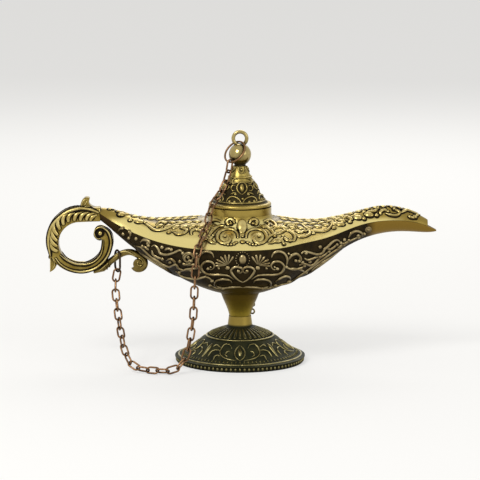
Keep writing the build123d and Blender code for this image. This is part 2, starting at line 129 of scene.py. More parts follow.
bpy.ops.mesh.primitive_plane_add(size=6, location=(0, 0, 0))
floor = bpy.context.object
floor.name = "studio_floor"
floor.data.materials.append(studio_white("floor_matt_paint", "e6e4e0", "b4b3b0", 0.5))

world = bpy.data.worlds.new("studio_air")
bpy.context.scene.world = world
world.use_nodes = True
air = world.node_tree
air.nodes.clear()
lit = add_node(air, "ShaderNodeBackground", Color=linear("f2f0ec"), Strength=0.55)
shown = add_node(air, "ShaderNodeBackground", Color=linear("f4f4f2"), Strength=1.0)
mixed = add_node(air, "ShaderNodeMixShader",
                 [(0, background_ray(air)), (1, lit.outputs[0]), (2, shown.outputs[0])])
add_node(air, "ShaderNodeOutputWorld", [("Surface", mixed.outputs[0])])
print("floor in metres:", tuple(floor.dimensions))

# %% [markdown]
# Three big soft lights keep the reflections on the metal broad, as in the picture: a key light from
# the left, a weak fill from the right and a rim light from behind. All of them face the lamp's middle.
# The Standard view shows the colours as they are, so the brass keeps its strength.

# %% Lights
SOFTBOXES = {
    # name: place and size in metres, power in watts
    "key_softbox": ((-0.55, -0.75, 0.85), 0.45, 7),
    "fill_softbox": ((0.75, -0.65, 0.45), 0.6, 2),
    "rim_softbox": ((0.1, 0.8, 0.7), 0.6, 3.5),
}
lamp_middle = Vector((0, 0, 0.06))
for name, (place, size, watts) in SOFTBOXES.items():
    bpy.ops.object.light_add(type="AREA", location=place)
    softbox = bpy.context.object
    softbox.name = name
    softbox.data.size = size
    softbox.data.energy = watts
    softbox.rotation_euler = (lamp_middle - Vector(place)).to_track_quat("-Z", "Y").to_euler()
bpy.context.scene.view_settings.view_transform = "Standard"
print("lights:", ", ".join(SOFTBOXES))

# %% [markdown]
# The occlusion also sees the other parts, so it darkens where parts come close: that is painted shade.
# The metal is cast brass with an antique finish: plated, blackened with a patina, then rubbed back.
# The patina stays dark in hollows and corners, and the raised places are rubbed to bright metal.
# Ambient occlusion finds the hollows at the scale of the relief, and noise gives the uneven rubbing.
# It could be painted by hand, but then every scroll would need painting, and this finds them all.
# The darker a place is, the more of it is dull oxide, and the less is bare shining metal.

# %% Antique brass
OXIDE_TONE, METAL_TONE = 0.008, 0.10
# sizes in mm; the skin of a casting is finer than this pit, which is drawn as coarse as it needs to show
WORN_PATCH, CASTING_PIT, PIT_DEPTH = 5.263, 0.6667, 0.03


def antique_brass(name, dark, body, bright, reach, roughness, wear=0.5, zones=(), hollow=(0.5, 0.97)):
    """Cast metal. dark fills hollows up to reach mm wide, and bright shows where it is rubbed.

    hollow holds the openness at which a place is all dark and the one at which it is clean.
    Each zone is (axis, start, end, colour): from start to end in mm the body turns to that colour.
    Axis "slope" goes by the upward share of the wall's normal: 0 is an upright wall, 1 a level one."""
    material = bpy.data.materials.new(name)
    material.use_nodes = True
    tree = material.node_tree
    tree.nodes.clear()
    coordinates = add_node(tree, "ShaderNodeTexCoord").outputs
    place, slant = coordinates["Object"], coordinates["Normal"]
    cloud = add_node(tree, "ShaderNodeTexNoise", [("Vector", place)],
                     Scale=1 / (WORN_PATCH * mm), Detail=4.0, Roughness=0.62)
    pits = add_node(tree, "ShaderNodeTexNoise", [("Vector", place)],
                    Scale=1 / (CASTING_PIT * mm), Detail=2.0, Roughness=0.5)
    # ambient occlusion: real patina in the relief's hollows, and painted shade where other parts come close
    openness = add_node(tree, "ShaderNodeAmbientOcclusion", settings={"samples": 8}, Distance=reach * mm)
    patina_and_shade = add_node(tree, "ShaderNodeMapRange", [("Value", openness.outputs["AO"])],
                      From_Min=hollow[0], From_Max=hollow[1], To_Min=1.0, To_Max=0.0)
    worn = add_node(tree, "ShaderNodeMapRange", [("Value", cloud.outputs["Fac"])],
                    From_Min=0.38, From_Max=0.66, To_Min=0.0, To_Max=wear)
    colour = add_node(tree, "ShaderNodeMixRGB", [("Fac", worn.outputs[0])],
                      Color1=linear(body), Color2=linear(bright)).outputs[0]
    # a zone by slope colours a wall by the way it faces: painted shade or a painted highlight
    for axis, start, end, zone_colour in zones:
        source, unit, output = (slant, 1.0, "Z") if axis == "slope" else (place, mm, axis)
        along = add_node(tree, "ShaderNodeSeparateXYZ", [("Vector", source)])
        share = add_node(tree, "ShaderNodeMapRange", [("Value", along.outputs[output])],
                         From_Min=start * unit, From_Max=end * unit, To_Min=0.0, To_Max=1.0)
        colour = add_node(tree, "ShaderNodeMixRGB", [("Fac", share.outputs[0]), ("Color1", colour)],
                          Color2=linear(zone_colour)).outputs[0]
    colour = add_node(tree, "ShaderNodeMixRGB", [("Fac", patina_and_shade.outputs[0]), ("Color1", colour)],
                      Color2=linear(dark)).outputs[0]
    tone = add_node(tree, "ShaderNodeRGBToBW", [("Color", colour)]).outputs[0]
    bare = add_node(tree, "ShaderNodeMapRange", [("Value", tone)],
                    From_Min=OXIDE_TONE, From_Max=METAL_TONE, To_Min=0.15, To_Max=1.0)
    gloss = add_node(tree, "ShaderNodeMapRange", [("Value", tone)], From_Min=OXIDE_TONE,
                     From_Max=METAL_TONE, To_Min=min(roughness + 0.25, 0.8), To_Max=roughness)
    grain = add_node(tree, "ShaderNodeBump", [("Height", pits.outputs["Fac"])],
                     Strength=1.0, Distance=PIT_DEPTH * mm)
    metal = add_node(tree, "ShaderNodeBsdfPrincipled",
                     [("Base Color", colour), ("Roughness", gloss.outputs[0]),
                      ("Normal", grain.outputs[0]), ("Metallic", bare.outputs[0])],
                     Specular_IOR_Level=0.08)
    add_node(tree, "ShaderNodeOutputMaterial", [("Surface", metal.outputs[0])])
    return material


print("oxide turns to bare metal at tones of", OXIDE_TONE, "to", METAL_TONE)

# %% [markdown]
# Every finish is named for the real one. Its three colours are the hollows, the body and the rubbed
# places. Zones turn the body to another colour where the real casting was rubbed or plated apart;
# some zones paint shade on walls that turn downward, and a highlight on the shoulder's seam band.
# The reliefs have finishes of their own, each a shade brighter than the ground that it stands on.

# %% Finishes of the lamp
finishes = {
    # blackened green bronze, with the short neck left bright
    "foot_bronze": antique_brass("foot_green_bronze", "090b06", "23261a", "4c4a2b", 1.8, 0.4, 0.5,
                                 [("Z", 18.5, 19.5, "8f7b3c")]),
    # blackened ground; the smooth neck and the underside of the spout are plain golden brown
    "bowl_dark": antique_brass("bowl_blackened_brass", "080603", "1e1709", "423418", 1.8, 0.42, 0.5,
                               [("X", 64, 69, "80662b"), ("X", -58, -66, "3b2c14"),
                                ("Z", 43.5, 39, "5c4a16"), ("Z", 33, 25, "94802f")]),
    # bright on the collar and on the plain band along the seam, which also gets a painted highlight;
    # darkened where the leaves stand
    "shoulder_gold": antique_brass("shoulder_antique_gold", "140f07", "96803f", "bda85e", 2.4, 0.28, 0.6,
                                   [("slope", 0.9, 0.84, "e2d088"), ("slope", 0.93, 0.98, "4a3c19"),
                                    ("Z", 73.5, 75.5, "a08a45"), ("X", 74, 84, "8f7a3c"),
                                    ("X", -60, -68, "8f7a3c")], (0.66, 0.985)),
    # pale gold that the hand keeps rubbed
    "handle_gold": antique_brass("handle_pale_gold", "1c1409", "85702f", "b5a05a", 2.4, 0.3, 0.5, (),
                                 (0.62, 0.98)),
    # satin bronze, duller than the handle that it is brazed to
    "branch_bronze": antique_brass("branch_satin_bronze", "140e06", "6d5d30", "9c874c", 1.6, 0.34),
    # olive brass, with a bright rim below and a bright seat for the finial above
    "lid_olive": antique_brass("lid_olive_brass", "0a0805", "282210", "4c4121", 1.8, 0.36, 0.5,
                               [("Z", 82.3, 82.0, "a18c4a"), ("Z", 92.6, 93.6, "a08d4c")]),
    # polished ball, with painted shade on its underside and stud
    "finial_polished": antique_brass("finial_polished_brass", "140f07", "a2905a", "d0c08a", 3.0, 0.15, 0.3,
                                     [("Z", 104.5, 101.0, "3a2f17"), ("slope", 0.0, -0.9, "463a1c")]),
    # coppery wire of the top ring and of the links, and the blackened wire of the end ring
    "ring_bronze": antique_brass("top_ring_copper_bronze", "120a05", "6e5033", "a5815a", 1.2, 0.32),
    "chain_bronze": antique_brass("chain_copper_bronze", "110905", "674930", "a9835e", 1.5, 0.28, 0.7),
    "ring_dark": antique_brass("end_ring_darkened_bronze", "0b0805", "32281b", "5b4a34", 1.2, 0.4),
    # zinc-plated screw and washer below the foot
    "screw_steel": antique_brass("screw_zinc_steel", "3c3c3a", "a8a8a4", "d0d0cc", 0.8, 0.3),
    # rubbed reliefs, with painted shade on the sides that turn downward
    "bowl_relief": antique_brass("bowl_rubbed_relief", "080604", "7c6b47", "bdac80", 0.9, 0.28, 0.7,
                                 [("slope", -0.2, -0.85, "2b2112")]),
    "shoulder_relief": antique_brass("shoulder_rubbed_relief", "140f07", "9c874a", "d2c080", 1.1, 0.26, 0.7,
                                     [("slope", 0.45, -0.1, "3d3116")], (0.55, 0.95)),
    "lid_relief": antique_brass("lid_rubbed_relief", "0a0805", "7a6a38", "b8a566", 0.9, 0.3, 0.7,
                                [("slope", 0.2, -0.5, "2b230f")]),
    "foot_relief": antique_brass("foot_rubbed_relief", "090b06", "857a4b", "bfb27c", 0.8, 0.32, 0.6,
                                 [("slope", 0.5, -0.3, "2e2d18")]),
    "foot_ribs": antique_brass("foot_half_rubbed_bronze", "090b06", "625b33", "9c9059", 1.3, 0.34, 0.5,
                               [("slope", 0.6, 0.1, "1c1e12")]),
    "handle_relief": antique_brass("handle_rubbed_relief", "1c1409", "ab9654", "d8c686", 1.2, 0.28, 0.7),
    # the line of patina that stays round a relief
    "dark_line": antique_brass("patina_line", "0a0704", "1c150b", "2b2212", 1.0, 0.5, 0.3),
}
slot_of = {part["node"]: part["material_slot"] for part in frame["record"]["subparts"]}
for node, part in nodes.items():
    part.data.materials.clear()
    part.data.materials.append(finishes[slot_of[node]])
print("finishes:", len(finishes))

# %% [markdown]
# The ornament is cast in one piece with the walls, so it follows them everywhere.
# Its places are read from the picture in pixels and carried onto the lamp by a ray from the camera.
# The surface that the ray meets gives each point its place and the direction the relief stands up in.
# A Shrinkwrap modifier could press drawn curves on the lamp, but it moves them to the nearest wall,
# and with rays each line falls where the picture shows it.

# %% Finding a place on the castings
# how far in mm a ray may pass beside the lamp and still find a place
MISS_LIMIT = 1.2
skins = {}


def skin(*names):
    """One search tree over the surfaces of the named castings."""
    if names not in skins:
        points, faces = [], []
        for name in names:
            start = len(points)
            points += [v.co.copy() for v in nodes[name].data.vertices]
            faces += [[start + i for i in face.vertices] for face in nodes[name].data.polygons]
        skins[names] = BVHTree.FromPolygons(points, faces)
    return skins[names]


def on_casting(pixel, *names):
    """Where a ray through a pixel of the picture meets the castings: the point and the outward normal.

    A ray that passes close by takes the nearest place, and one that misses by more gives None."""
    across = (pixel[0] / PHOTO_PIXELS - 0.5) * PHOTO_WIDTH
    up = (0.5 - pixel[1] / PHOTO_PIXELS) * PHOTO_WIDTH
    aim = look_at + camera.matrix_basis.to_3x3() @ Vector((across, up, 0))
    ray = (aim - camera_place).normalized()
    place, normal, face, distance = skin(*names).ray_cast(camera_place, ray)
    if place is None:
        beside = camera_place + ray * (look_at - camera_place).dot(ray)
        place, normal, face, distance = skin(*names).find_nearest(beside, MISS_LIMIT * mm)
    if place is None:
        return None
    return place, -normal if normal.dot(ray) > 0 else normal


print("width of a pixel in mm:", round(PHOTO_WIDTH / PHOTO_PIXELS / mm, 2))

# %% [markdown]
# A scroll is a raised strand, half sunk in its wall, that swells and runs out in a point or a ball.
# On the real lamp it was carved in the pattern for the mould. A bevelled curve would twist on a wall
# that bends two ways, so a strip of cross-sections is laid along a smooth line on the wall instead,
# each section standing up along the wall's own normal.

# %% Strands
# how deep a relief is sunk in its wall, in mm, and how finely its section and its line are drawn
SUNK = 0.15
ARC_STEPS = 6
SAMPLE_PIXELS = 1.0


def smooth_line(points, step):
    """A Catmull-Rom line through the points, sampled about every step."""
    ends = [2 * points[0] - points[1], *points, 2 * points[-1] - points[-2]]
    line = []
    for a, b, c, d in zip(ends, ends[1:], ends[2:], ends[3:]):
        count = max(2, round((c - b).length / step))
        for i in range(count):
            s = i / count
            line.append(0.5 * (2 * b + (c - a) * s + (2 * a - 5 * b + 4 * c - d) * s * s
                               + (3 * b - a - 3 * c + d) * s ** 3))
    line.append(points[-1])
    return line


def lay_strand(mesh, found, width, height, taper, ramp=4.0):
    """Adds a raised strand over places found on a wall. Its width and height are in mm.

    taper is the share of them at each end, and a low ramp makes the strand swell slowly from its start."""
    rings = []
    last = len(found) - 1
    for i, (place, normal) in enumerate(found):
        before, after = found[max(i - 1, 0)][0], found[min(i + 1, last)][0]
        side = (after - before).cross(normal).normalized()
        s = i / last
        swell = min(1.0, taper[0] + (1 - taper[0]) * s * ramp, taper[1] + (1 - taper[1]) * (1 - s) * 4)
        half, rise = width * mm * swell / 2, height * mm * swell
        rings.append([mesh.verts.new(place + side * half * math.cos(turn)
                                     + normal * (rise * math.sin(turn) - SUNK * mm))
                      for turn in (math.pi * k / ARC_STEPS for k in range(ARC_STEPS + 1))])
    for one, two in zip(rings, rings[1:]):
        for a, b, c, d in zip(one, one[1:], two[1:], two):
            mesh.faces.new((a, b, c, d))
        mesh.faces.new((one[-1], one[0], two[0], two[-1]))
    mesh.faces.new(rings[0][::-1])
    mesh.faces.new(rings[-1])


def strand(mesh, pixels, width, height, names, taper=(0.35, 0.35), ramp=4.0, mirror=False, ball=0,
           ball_rise=0):
    """A strand through pixels of the picture, with a ball of that radius and rise in mm on its end.

    mirror is the pixel column that the line is mirrored in."""
    flat = [Vector((2 * mirror - x if mirror else x, y, 0)) for x, y in pixels]
    line = smooth_line(flat, SAMPLE_PIXELS)
    found = [place for place in (on_casting(pixel, *names) for pixel in line) if place]
    if len(found) > 2:
        lay_strand(mesh, found, width, height, taper, ramp)
    end = on_casting(flat[-1], *names)
    if ball and end:
        bud(mesh, *end, ball, ball, ball_rise or 1.3 * ball)


print("faces of a strand, for each step of its line:", ARC_STEPS + 1)

# %% [markdown]
# Buttons, balls, pearls and leaves are rounded ovals, cast with the wall and rubbed bright on top.
# Their finish also paints shade on the sides that turn downward.
# A ball could be added and squashed for each, but hundreds of them must stand square to a curved wall.
# So circles that shrink toward the top are stacked along the wall's normal and closed with a point.

# %% Buttons, balls and leaves
def stack(mesh, circles, top):
    """Joins circles of points from the wall upward and closes them, with a point above and flat below."""
    for low, high in zip(circles, circles[1:]):
        for a, b, c, d in zip(low, low[1:] + low[:1], high[1:] + high[:1], high):
            mesh.faces.new((a, b, c, d))
    for a, b in zip(circles[-1], circles[-1][1:] + circles[-1][:1]):
        mesh.faces.new((a, b, top))
    mesh.faces.new(circles[0][::-1])


def bud(mesh, place, normal, half_width, half_height, rise, rings=4, segments=12, lean=0.0):
    """Adds an oval button to a wall, its sizes in mm. lean turns its height from the wall's upward line."""
    up = Vector((0, 0, 1)) if abs(normal.z) < 0.9 else Vector((0, 1, 0))
    up = (up - normal * up.dot(normal)).normalized()
    side = up.cross(normal)
    up, side = up * math.cos(lean) + side * math.sin(lean), side * math.cos(lean) - up * math.sin(lean)
    circles = []
    for level in range(rings):
        high = math.pi / 2 * level / rings
        circles.append([])
        for turn in (2 * math.pi * i / segments for i in range(segments)):
            out = side * half_width * math.cos(turn) + up * half_height * math.sin(turn)
            circles[-1].append(mesh.verts.new(place + out * math.cos(high) * mm
                                              + normal * (rise * math.sin(high) - SUNK) * mm))
    stack(mesh, circles, mesh.verts.new(place + normal * (rise - SUNK) * mm))


def dome(mesh, pixel, half_width, half_height, rise, names, mirror=False, **more):
    """A bud at a pixel of the picture."""
    x = 2 * mirror - pixel[0] if mirror else pixel[0]
    found = on_casting((x, pixel[1]), *names)
    if found:
        bud(mesh, *found, half_width, half_height, rise, **more)


print("relief stands this deep in its wall, in mm:", SUNK)

# %% [markdown]
# The picture shows the near side of the body alone, and the real castings are alike on both sides.
# So a relief gets a mirrored copy for the far side, and its faces are then turned outward again.
# It becomes one piece, with its finish, that rides on its casting.

# %% Finished reliefs
def copy_relief(mesh, elements):
    """Copies part of a relief and gives back the new points."""
    copied = bmesh.ops.duplicate(mesh, geom=elements)["geom"]
    return [element for element in copied if isinstance(element, bmesh.types.BMVert)]


def finish_relief(mesh, name, body, slot, both_sides=True, material=None):
    """Turns the collected relief into one piece that rides on its body, with a copy for the far side."""
    if both_sides:
        for vert in copy_relief(mesh, mesh.verts[:] + mesh.edges[:] + mesh.faces[:]):
            vert.co.y = -vert.co.y
    bmesh.ops.recalc_face_normals(mesh, faces=mesh.faces[:])
    data = bpy.data.meshes.new(name)
    mesh.to_mesh(data)
    mesh.free()
    piece = bpy.data.objects.new(name, data)
    bpy.context.scene.collection.objects.link(piece)
    for face in data.polygons:
        face.use_smooth = True
    data.materials.append(finishes[material or slot])
    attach(piece, body)
    print(name, "faces:", len(data.polygons))
    return piece


print("finishes for reliefs:", sum("relief" in name for name in finishes))

# %% [markdown]
# The bowl's scrolls were traced on the picture, in pixels. Those round its middle are traced on one
# side and mirrored, and the ends toward the spout and toward the handle have lines of their own.

# %% Lines of the bowl
BOWL_AXIS = 242.7
BOWL_SCROLLS = [
    [(242.1, 282.6), (247.3, 279.8), (251.9, 275.2), (254.4, 270.2), (251.2, 267.2), (247.3, 266.8),
     (243.9, 268), (242.9, 270.2), (244.7, 272.5), (247.7, 271.9), (246.9, 270.6)],
    [(251.5, 279.4), (257.3, 275.6), (264.2, 274.5), (271.8, 274.5), (278.7, 273.3), (282.9, 270.2),
     (283.7, 265.7), (280.2, 261.8), (274.9, 261.4), (271.4, 264.1), (271.4, 267.2), (274.1, 269.5),
     (277.2, 268.3)],
    [(271.4, 258), (273, 253.8), (277.2, 251.5), (282.5, 252.3), (286, 255.7), (287.1, 260.3),
     (286, 266.4)],
    [(289.4, 259.2), (291.7, 255.7), (295.5, 253.8), (299.4, 255.7), (300.5, 259.5), (297.8, 261.8),
     (295.5, 260.3)],
    [(287.1, 268.7), (293.2, 268.3), (299.4, 269.1), (305.5, 271.8)],
    [(242.1, 287.8), (246.6, 286.7), (251.9, 286.7), (257.3, 287.1), (262.6, 287.8), (270.3, 287.1),
     (274.9, 284.8)],
    [(253.5, 283.3), (255.4, 280.2), (261.9, 278.8), (268.4, 280.2), (270.3, 283.3), (268.4, 286.2),
     (261.9, 287.7)],
]
BOWL_SPOUT_SCROLLS = [
    [(288.5, 259.6), (291.2, 255.4), (296, 253.5), (299.7, 256.7), (298.7, 260.7)],
    [(286.2, 267.7), (293.6, 269), (300.9, 267.4), (304, 265.3)],
    [(300.9, 254), (304.3, 251.3), (309.6, 252.4), (316.3, 254), (321.7, 252.7), (324.1, 248.9),
     (327.7, 246), (332.4, 241.6), (337.1, 239.8), (340.2, 242.5)],
    [(304.3, 258), (307, 259.6), (311, 258.6), (315, 257), (319, 256.3)],
    [(298.9, 265), (304.3, 263.4), (309.6, 265), (313.9, 263), (319, 257.6), (324.4, 254.3),
     (328.4, 250.9)],
    [(325.7, 247.6), (329.5, 248.9), (333.1, 246.9), (336.4, 244.2)],
    [(341.1, 243.6), (345.1, 242.5), (348.5, 239.8)],
    [(348.2, 237.9), (350.9, 233.1), (356.2, 231), (361.2, 232.6), (361.6, 235.8), (358.1, 236.9)],
    [(256.7, 287.1), (269.5, 287.4), (280.2, 284.4), (290.6, 281.1), (300.3, 274.6), (309, 268.3),
     (319.7, 260.6), (330, 253.2), (338.8, 247.6), (347.1, 242), (356.2, 237.5), (363.9, 233.5)],
    [(275.1, 282.1), (280.8, 277.3), (286.2, 275.7), (289.8, 277.7), (288.5, 280.4)],
    [(336.4, 248.9), (339.8, 245.6), (343.1, 244.2)],
]
BOWL_HANDLE_SCROLLS = [
    [(118.1, 231.6), (120.9, 228.5), (126.8, 229.1), (130.7, 233.6), (129.3, 237.8)],
    [(140.1, 242.4), (143.9, 239.8), (149.5, 241.5), (149, 245.4)],
    [(151.4, 246.6), (154.9, 245.2), (158.8, 248.8), (160.8, 253), (167.5, 254.4), (174.5, 252.3),
     (180.1, 250.2), (183.2, 253)],
    [(152.1, 250.2), (153.8, 254.4), (158.4, 257.2), (163, 258.6)],
    [(134.5, 245.7), (140.8, 247.1), (146.2, 251.6), (152.1, 256.9), (159.1, 261.1), (164.7, 264.7),
     (170.3, 266.3), (175.9, 263.9), (179, 267.8), (184.3, 270.1), (191.4, 269.8)],
    [(183.2, 258.9), (184.6, 254.4), (190, 253), (193.6, 256.9), (191.4, 260.7)],
    [(166.4, 260.7), (170.3, 258.6), (174.5, 260.7), (175.2, 264.2)],
    [(175.9, 270.9), (181.5, 275.4), (190, 277.8), (197, 278.5), (206.2, 276.5), (212.4, 280.3)],
    [(187.1, 265.6), (192.8, 264.2), (198.4, 267), (200.1, 271.5)],
    [(164.7, 250.2), (168.2, 248.5), (171.7, 249.5)],
    [(182.2, 262.8), (185.7, 264.2), (190, 263.1)],
    [(149.3, 250.2), (146.5, 247.3), (143, 245.9)],
]
BOWL_BUTTON = (242.7, 259.5)
SPOUT_BUTTON = (368.3, 229.8)
FAN_FOOT = (258, 265.3)
FAN_TIPS = [(271, 266), (270.3, 263), (268.8, 259.5), (264.9, 256.5), (260.7, 254.6), (256.1, 254.6),
            (251.9, 256.5)]
# balls in the middle, each with its radius in mm
BOWL_BALLS = {(257.7, 268): 1.35, (274.6, 266.8): 0.7, (288.6, 253.6): 0.8, (266.5, 268): 0.8}
SPOUT_BALLS = [(305.9, 252.9), (302.3, 262.3), (309.6, 261.6), (320, 246.9), (344.2, 239.6),
               (357.9, 235.3)]
HANDLE_BALLS = [(123.3, 234), (136.2, 238.7), (162.2, 247.3), (170.3, 262.1), (180.1, 261.4),
                (147.9, 243.4), (188.6, 257.2)]
print("scrolls of the bowl:", 2 * len(BOWL_SCROLLS) + len(BOWL_SPOUT_SCROLLS + BOWL_HANDLE_SCROLLS))

# %% [markdown]
# The bowl is the darkest part: a blackened ground with thin rubbed scrolls over it.
# A heart stands under an oval button ringed with pearls, a fan of petals opens on each side,
# and long S-scrolls run from there to both ends.

# %% Relief of the bowl
# half sizes of the ring of pearls in pixels, and where it starts and how far it runs in degrees
PEARLS = 15
PEARL_RING = (6.8, 7.4)
PEARL_START, PEARL_SWEEP = -50, 280
bowl_skin = ("lower_shell",)
bowl_relief = bmesh.new()
for line in BOWL_SCROLLS:
    for side in (False, BOWL_AXIS):
        strand(bowl_relief, line, 1.6, 1.1, bowl_skin, (0.4, 0.5), mirror=side, ball=1.1)
for line in BOWL_SPOUT_SCROLLS + BOWL_HANDLE_SCROLLS:
    strand(bowl_relief, line, 1.7, 1.15, bowl_skin, (0.5, 0.6), ball=1.1)
for tip in FAN_TIPS:
    petal = [FAN_FOOT, ((FAN_FOOT[0] + tip[0]) / 2, (FAN_FOOT[1] + tip[1]) / 2), tip]
    for side in (False, BOWL_AXIS):
        strand(bowl_relief, petal, 1.5, 0.8, bowl_skin, taper=(0.1, 0.6), ramp=1.3, mirror=side)
for ball, radius in BOWL_BALLS.items():
    for side in (False, BOWL_AXIS):
        dome(bowl_relief, ball, radius, radius, 1.1, bowl_skin, mirror=side)
for ball in SPOUT_BALLS + HANDLE_BALLS:
    dome(bowl_relief, ball, 1.15, 1.15, 1.1, bowl_skin)
dome(bowl_relief, SPOUT_BUTTON, 2.0, 2.0, 0.6, bowl_skin)
dome(bowl_relief, SPOUT_BUTTON, 0.95, 0.95, 1.2, bowl_skin)
dome(bowl_relief, BOWL_BUTTON, 2.0, 2.7, 1.5, bowl_skin, rings=6, segments=24)
for k in range(PEARLS):
    turn = math.radians(PEARL_START + PEARL_SWEEP * k / (PEARLS - 1))
    pearl = (BOWL_BUTTON[0] + PEARL_RING[0] * math.cos(turn), BOWL_BUTTON[1] - PEARL_RING[1] * math.sin(turn))
    dome(bowl_relief, pearl, 0.42, 0.42, 0.6, bowl_skin, rings=3, segments=8)
print("faces on the near side of the bowl:", len(bowl_relief.faces))

# %% [markdown]
# The camera can't see the bowl's two ends, under the spout and behind the handle.
# A ribbed leaf fills each of them. Half of it is three bows, one inside the other, and the mirrored
# copy for the far side makes it whole. Its places are found by level lines from outside.

# %% Leaves on the bowl's ends
# heights in mm, then angles in degrees from the lamp's long axis
LEAF_FOOT, LEAF_TIP = 43.0, 58.0
LEAF_GAP = 1.5
LEAF_SPREADS = (17.0, 10.5, 4.5)
LEAF_STEPS = 12


def from_side(name, z, turn):
    """Where a level line to the lamp's axis at height z in mm meets a casting. turn is 0 at the front."""
    out = Vector((math.sin(turn), -math.cos(turn), 0))
    place, normal, face, distance = skin(name).ray_cast(out + Vector((0, 0, z * mm)), -out)
    return place, normal if normal.dot(out) > 0 else -normal


for end, toward_front in ((math.pi / 2, -1), (-math.pi / 2, 1)):
    for spread in LEAF_SPREADS:
        bow = []
        for k in range(LEAF_STEPS + 1):
            turn = math.radians(LEAF_GAP + spread * math.sin(math.pi * k / LEAF_STEPS))
            height = LEAF_FOOT + (LEAF_TIP - LEAF_FOOT) * k / LEAF_STEPS
            bow.append(from_side("lower_shell", height, end + toward_front * turn))
        lay_strand(bowl_relief, bow, 1.1, 0.9, (0.4, 0.4))
finish_relief(bowl_relief, "bowl_relief", "lamp", "bowl_dark", material="bowl_relief")

# %% [markdown]
# The shoulder's pattern was traced in the same way: a volute on each side of an oval button with a row
# of scallops below it, and single leaves and pods toward the spout and the handle.

# %% Lines of the shoulder
SHOULDER_AXIS = 242.0
SHOULDER_SCROLLS = [
    [(246.1, 238.2), (246.8, 233.1), (250.6, 229.9), (257, 229.2), (263.3, 231.1), (266.5, 235.6),
     (265.9, 240.1), (261.4, 243.3), (256.3, 242.6), (253.8, 239.4), (255.7, 236.2), (258.9, 236.9)],
    [(249.3, 224.1), (251.2, 220.3), (254.4, 219.3), (257, 221.6), (255.7, 224.8), (253.1, 224.1)],
    [(259.5, 226), (264.6, 226), (269.1, 228.6), (272.9, 232.4), (274.8, 236.9)],
    [(267.8, 243.3), (272.3, 242.6), (274.8, 240.1), (279.3, 239.4), (282.5, 241.4), (283.8, 244.5)],
    [(263.3, 221.6), (268.4, 220.3), (273.5, 222.2), (276.1, 226), (274.2, 229.2), (271, 228.6)],
]
SHOULDER_SPOUT_SCROLLS = [
    [(267.5, 239.3), (269.7, 236.2), (275.1, 234.5), (272.8, 231.8)],
    [(275.1, 234.5), (280.2, 233.1), (286.2, 230.4), (292.2, 233.1), (294.9, 236.9), (293.6, 240.9),
     (289.8, 239.8)],
    [(271.1, 240.2), (276.2, 242), (280.2, 241.2), (283.1, 236.6)],
    [(283.1, 236.9), (286.6, 240.1), (290.2, 241.4)],
    [(295.6, 235.5), (300.3, 237.1), (305.9, 236.2), (309.9, 233.5), (308.3, 230.4), (305.4, 231.8)],
    [(294.9, 230.4), (300.3, 232.9), (304.6, 230.2)],
    [(299.6, 223.5), (302.9, 225.1), (307, 228.8), (312.3, 230.8), (320.4, 231.8), (327, 230.2),
     (331.1, 225.9), (332.7, 221.9)],
    [(270.8, 228.8), (275.5, 226.2), (281.5, 227.5), (284.9, 225.1)],
    [(260.1, 225.1), (264.8, 227.5), (268.8, 225.1), (267.5, 222.1)],
    [(286.9, 226.2), (291.6, 225.1), (296.2, 226.8)],
    [(380.6, 215.4), (380.6, 211.7), (384.6, 210.1), (388, 212.1)],
    [(385.3, 213), (391.3, 215.2), (397, 215.4), (399.4, 212.1), (394, 209.4)],
    [(400.7, 213), (406.1, 210.4), (412.8, 210.4), (417.4, 214.8), (414.1, 216.8)],
    [(363.9, 214.8), (368.6, 212.1), (373.9, 211.4), (377.9, 208.7)],
    [(408.1, 215.4), (410.8, 217.5), (415.4, 217.9)],
]
SHOULDER_HANDLE_SCROLLS = [
    [(185.7, 222.1), (178.7, 224.2), (171.7, 226.6), (161.9, 230.2), (154.2, 229.8), (149.3, 226.3),
     (145.1, 223.2)],
    [(173.1, 231.6), (177.3, 234.4), (182.9, 233.9), (187.1, 230.5), (181.8, 228.4)],
    [(191.4, 235), (191.6, 231.2), (197, 229.8), (201.9, 232.2), (200.5, 235.8)],
    [(204, 236.1), (208.9, 238.9), (213.1, 236.1)],
    [(156.3, 224.9), (160.5, 222.1), (165.4, 223.5)],
    [(188.6, 226.3), (193.5, 224.9), (198.4, 226.3)],
]
SHOULDER_BUTTON = (242, 226.2)
VOLUTE_FIELD = (256.0, 236.8)
# balls below the button, each with its radius in mm
SHOULDER_BALLS = {(242.6, 236.9): 0.75, (242.6, 242): 1.3}
SCALLOPS = [(247.7, 242.6), (249.9, 244), (252.8, 244.7), (256, 244.8), (259.2, 244.2)]
PODS = [(340.2, 224.3), (357.6, 217.5), (369.2, 214.8), (139.4, 221.8), (121.9, 214.4)]
SMALL_BUDS = [(349.8, 221.9), (313.4, 233.5), (363.9, 218.8), (333.7, 228.2), (376.6, 215.4),
              (130.3, 220.3), (168.9, 232.6)]
print("scrolls of the shoulder:",
      2 * len(SHOULDER_SCROLLS) + len(SHOULDER_SPOUT_SCROLLS + SHOULDER_HANDLE_SCROLLS))

# %% [markdown]
# The shoulder is plated bright gold. Its pattern is wider than the bowl's: flat rounded leaves with
# dark outlines round an oval button, and a smooth band left free along the seam.
# A dark outline is a wider, lower copy of the relief that it lies under. The button is wide enough
# to feel the wall bend, so each of its points gets a ray of its own.

# %% Relief of the shoulder
# how much wider than its relief a dark line is, and how high, in mm
OUTLINE, OUTLINE_RISE = 1.3, 0.3
shoulder_skin = ("upper_shell",)
shoulder_relief, shoulder_lines = bmesh.new(), bmesh.new()


